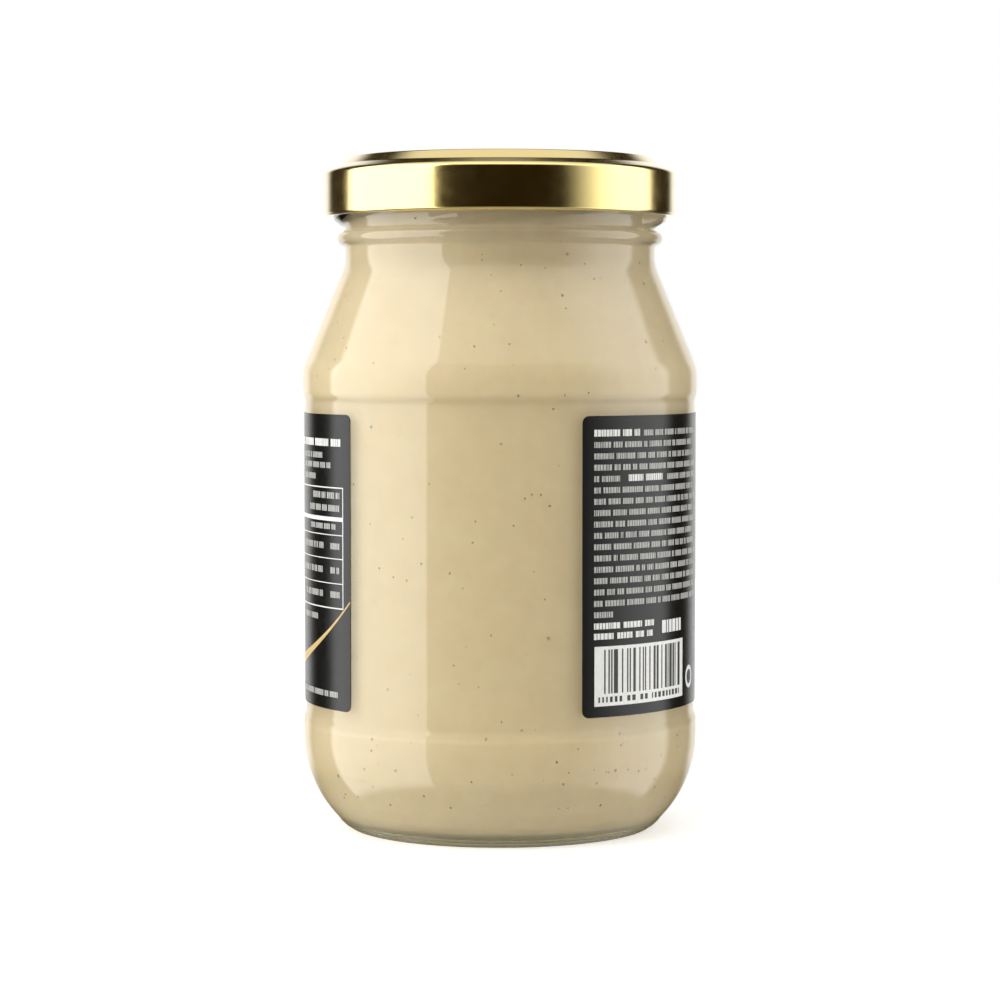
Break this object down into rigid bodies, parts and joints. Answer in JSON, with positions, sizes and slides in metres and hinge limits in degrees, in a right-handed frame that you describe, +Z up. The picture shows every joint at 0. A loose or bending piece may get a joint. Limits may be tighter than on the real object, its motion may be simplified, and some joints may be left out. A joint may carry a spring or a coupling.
{
  "type": "mayonnaise jar",
  "caption": "Filled screw-top glass jar of mayonnaise with a gold twist-off metal lid and a black wraparound label, closed and standing upright.",
  "frame": {"origin": "centre of the jar's foot, on the surface that it stands on", "axes": "+Z up along the jar's axis; the gap between the two ends of the label faces -Y; +X is to the right of that gap as seen from the front"},
  "size_m": [0.074, 0.074, 0.1253],
  "materials": {
    "clear_glass": "clear flint glass, polished, slightly wavy",
    "mayonnaise": "pale cream mayonnaise with fine brown specks, wet against the glass",
    "gold_lacquer": "gold lacquered tinplate, glossy",
    "black_label": "black printed paper, satin"
  },
  "bodies": {
    "root": {"glass_jar": "clear_glass", "mayonnaise": "mayonnaise", "lid": "gold_lacquer", "label": "black_label"}
  },
  "joints": []
}
